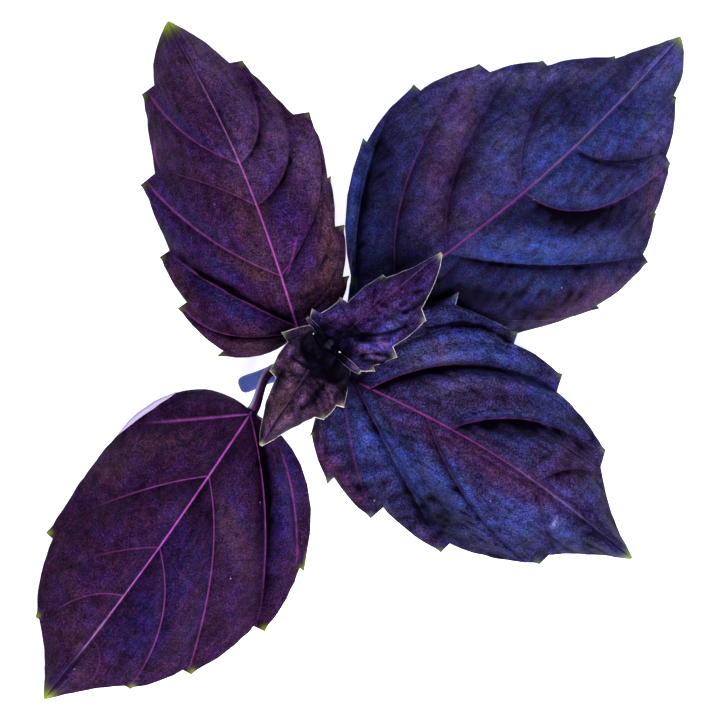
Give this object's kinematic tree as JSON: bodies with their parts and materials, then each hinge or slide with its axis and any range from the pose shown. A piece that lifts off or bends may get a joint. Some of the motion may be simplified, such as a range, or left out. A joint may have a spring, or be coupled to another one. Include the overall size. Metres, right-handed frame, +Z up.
{
  "type": "purple basil sprig",
  "caption": "Cut sprig top of purple basil lying crown up: crossed pairs of large toothed, quilted dark purple leaves, young leaves and a folded bud on a short leaning square stem.",
  "frame": {"origin": "centre of the sprig's box, on the surface it lies on", "axes": "+Z up out of the crown, +Y along the longer side of its plan, towards the tips of the northern leaves; +X towards the eastern leaves"},
  "size_m": [0.1084, 0.1136, 0.0272],
  "materials": {
    "stem": "satin",
    "indigo_leaf": "satin",
    "aubergine_leaf": "satin",
    "young_leaf": "satin",
    "bud": "satin"
  },
  "bodies": {
    "root": {"main_stem": "stem", "shoot_tip": "bud", "lower_leaf_northeast": "indigo_leaf", "lower_leaf_southwest": "aubergine_leaf", "upper_leaf_northwest": "aubergine_leaf", "upper_leaf_southeast": "indigo_leaf", "young_leaf_southwest": "young_leaf", "young_leaf_northeast": "young_leaf", "bud_leaf_northwest": "bud", "bud_leaf_southeast": "bud"}
  },
  "joints": []
}
